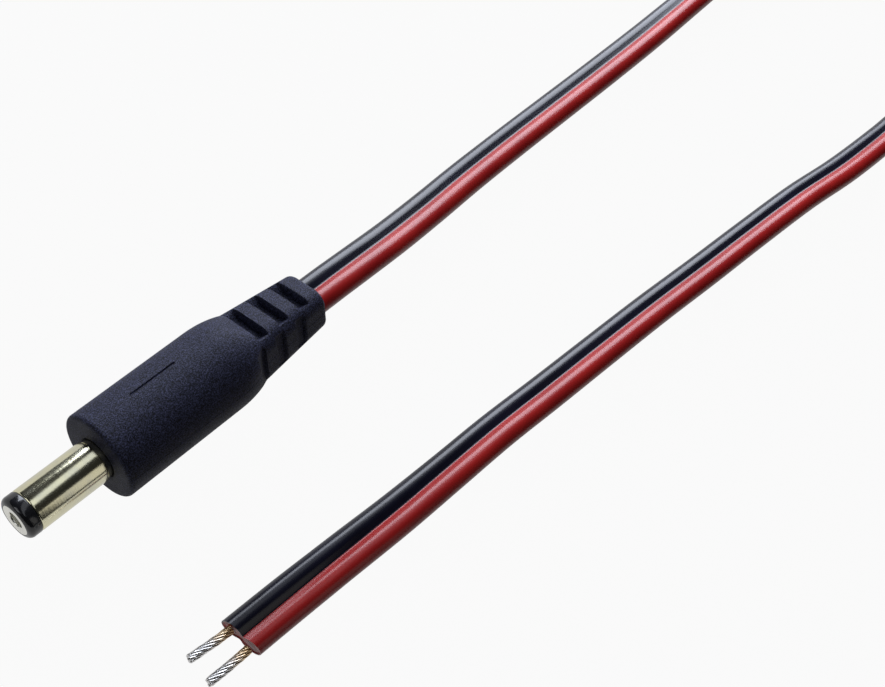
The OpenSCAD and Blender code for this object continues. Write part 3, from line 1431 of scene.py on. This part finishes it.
@dataclass
class Studio:
    """Camera, lamps, floor and world, in millimetres from the row's origin."""

    eye: Place = (-62.2, -23.5, 161.3)
    aim: Place = (33.62, -15.34, 5.75)
    roll: float = 44.27
    lens: float = 56.95
    sensor: float = 36.0
    nearest: float = 5.0
    farthest: float = 20000.0
    floor_half: float = 3000.0
    sky: Colour = (0.95, 0.95, 0.95)
    sky_light: float = 0.02
    lamps: Sequence[Lamp] = (
        Lamp("key", (226, 210, 112), (10, 0, 5), (330, 210), 2.0, (0.84, 0.89, 1.0)),
        Lamp("high_panel", (80, 88, 331), (-17, 0, 6), (120, 830), 0.33, (0.88, 0.93, 1.0)),
        Lamp("low_panel", (80, -297, 163), (-17, 0, 6), (75, 230), 0.04, (1.0, 0.98, 0.94)),
        Lamp("front_fill", (-260, 120, 150), (0, 0, 5), (150, 150), 0.14, (0.94, 0.96, 1.0)),
    )

    def camera(self) -> None:
        """Makes the camera, which looks from the eye at the aim and is rolled about that line."""
        back = (Vector(self.eye) - Vector(self.aim)).normalized()
        level = Vector((0, 0, 1)).cross(back).normalized()
        turn = math.radians(self.roll)
        right = level * math.cos(turn) + back.cross(level) * math.sin(turn)
        data = bpy.data.cameras.new("camera")
        data.lens, data.sensor_width = self.lens, self.sensor
        data.clip_start, data.clip_end = self.nearest * MM, self.farthest * MM
        camera = bpy.data.objects.new("camera", data)
        bpy.context.scene.collection.objects.link(camera)
        facing = Matrix((right, back.cross(right), back)).transposed().to_4x4()
        camera.matrix_world = Matrix.Translation(Vector(self.eye) * MM) @ facing
        bpy.context.scene.camera = camera

    def floor(self) -> None:
        """Makes the white floor."""
        mesh = bpy.data.meshes.new("floor")
        f = self.floor_half * MM
        mesh.from_pydata([(-f, -f, 0), (f, -f, 0), (f, f, 0), (-f, f, 0)], [], [(0, 1, 2, 3)])
        mesh.materials.append(WhitePaper().build())
        floor = bpy.data.objects.new("floor", mesh)
        bpy.context.scene.collection.objects.link(floor)

    def world(self) -> None:
        """Makes a plain world that shows pale to the camera and hardly lights the object."""
        world = bpy.data.worlds.new("world")
        world.use_nodes = True
        tree = Tree(world.node_tree)
        camera = tree.add("ShaderNodeLightPath", {}, {}, "Is Camera Ray")
        background = tree.nodes["Background"]
        tree.feed(background.inputs["Color"], self.sky)
        tree.feed(background.inputs["Strength"], camera * (1 - self.sky_light) + self.sky_light)
        bpy.context.scene.world = world

    def build(self) -> None:
        """Builds the whole studio."""
        self.camera()
        self.floor()
        self.world()
        for lamp in self.lamps:
            lamp.build()
        bpy.context.scene.view_settings.view_transform = "Standard"


def dress_hidden(finishes: dict[str, bpy.types.Material]) -> None:
    """Gives the CAD pieces inside the housing their finishes.

    Args:
        finishes: the finish of each CAD node.
    """
    for node, material in finishes.items():
        piece = bpy.data.objects[node]
        piece.data.materials.clear()
        piece.data.materials.append(material)
        log.info("%s: %s", node, material.name)


def main() -> None:
    """Builds the studio and every piece."""
    logging.basicConfig(level=logging.INFO)
    Studio().build()
    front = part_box("moulded_housing")[0][0] / MM
    axis = PlugAxis(front=front, height=Housing.radius)
    nickel, hard = NickelPlate().build(), HardBlackPlastic().build()
    silver = NickelPlate("pale_nickel_plate", (0.82, 0.81, 0.74), (0.72, 0.72, 0.67), 0.2).build()
    red = ExtrudedPvc("red_insulation", (0.37, 0.014, 0.012), (0.31, 0.010, 0.010)).build()
    black = ExtrudedPvc("black_insulation", (0.006, 0.006, 0.016), (0.003, 0.003, 0.009), 0.20).build()
    moulded = SparkTexturedPvc().build()
    cable = TwinCable()
    cable.lay()
    insulation = cable.build(red, black)
    tinned = TinnedStrands().build()
    ends = [
        TinnedEnd("red_strands", "red_tinned_end", (-11.2, -27.825, 1.55), 2, seed=5).build(tinned),
        TinnedEnd("black_strands", "black_tinned_end", (-11.2, -24.775, 1.55), 6, seed=8).build(tinned),
    ]
    strap = HankTie().build(black)
    cable.declare()
    barrel = Barrel(axis)
    barrel.build(nickel, silver, hard)
    Housing(axis).build(moulded, barrel.seat_radius)
    copper = SatinMetal("bare_copper", (0.72, 0.40, 0.24)).build()
    solder = SatinMetal("solder").build()
    dress_hidden({
        "rear_insulating_bush": hard,
        "red_lead": red,
        "black_lead": black,
        "red_conductor": copper,
        "black_conductor": copper,
        "centre_solder_joint": solder,
        "sleeve_solder_joint": solder,
    })


if __name__ == "__main__":
    main()
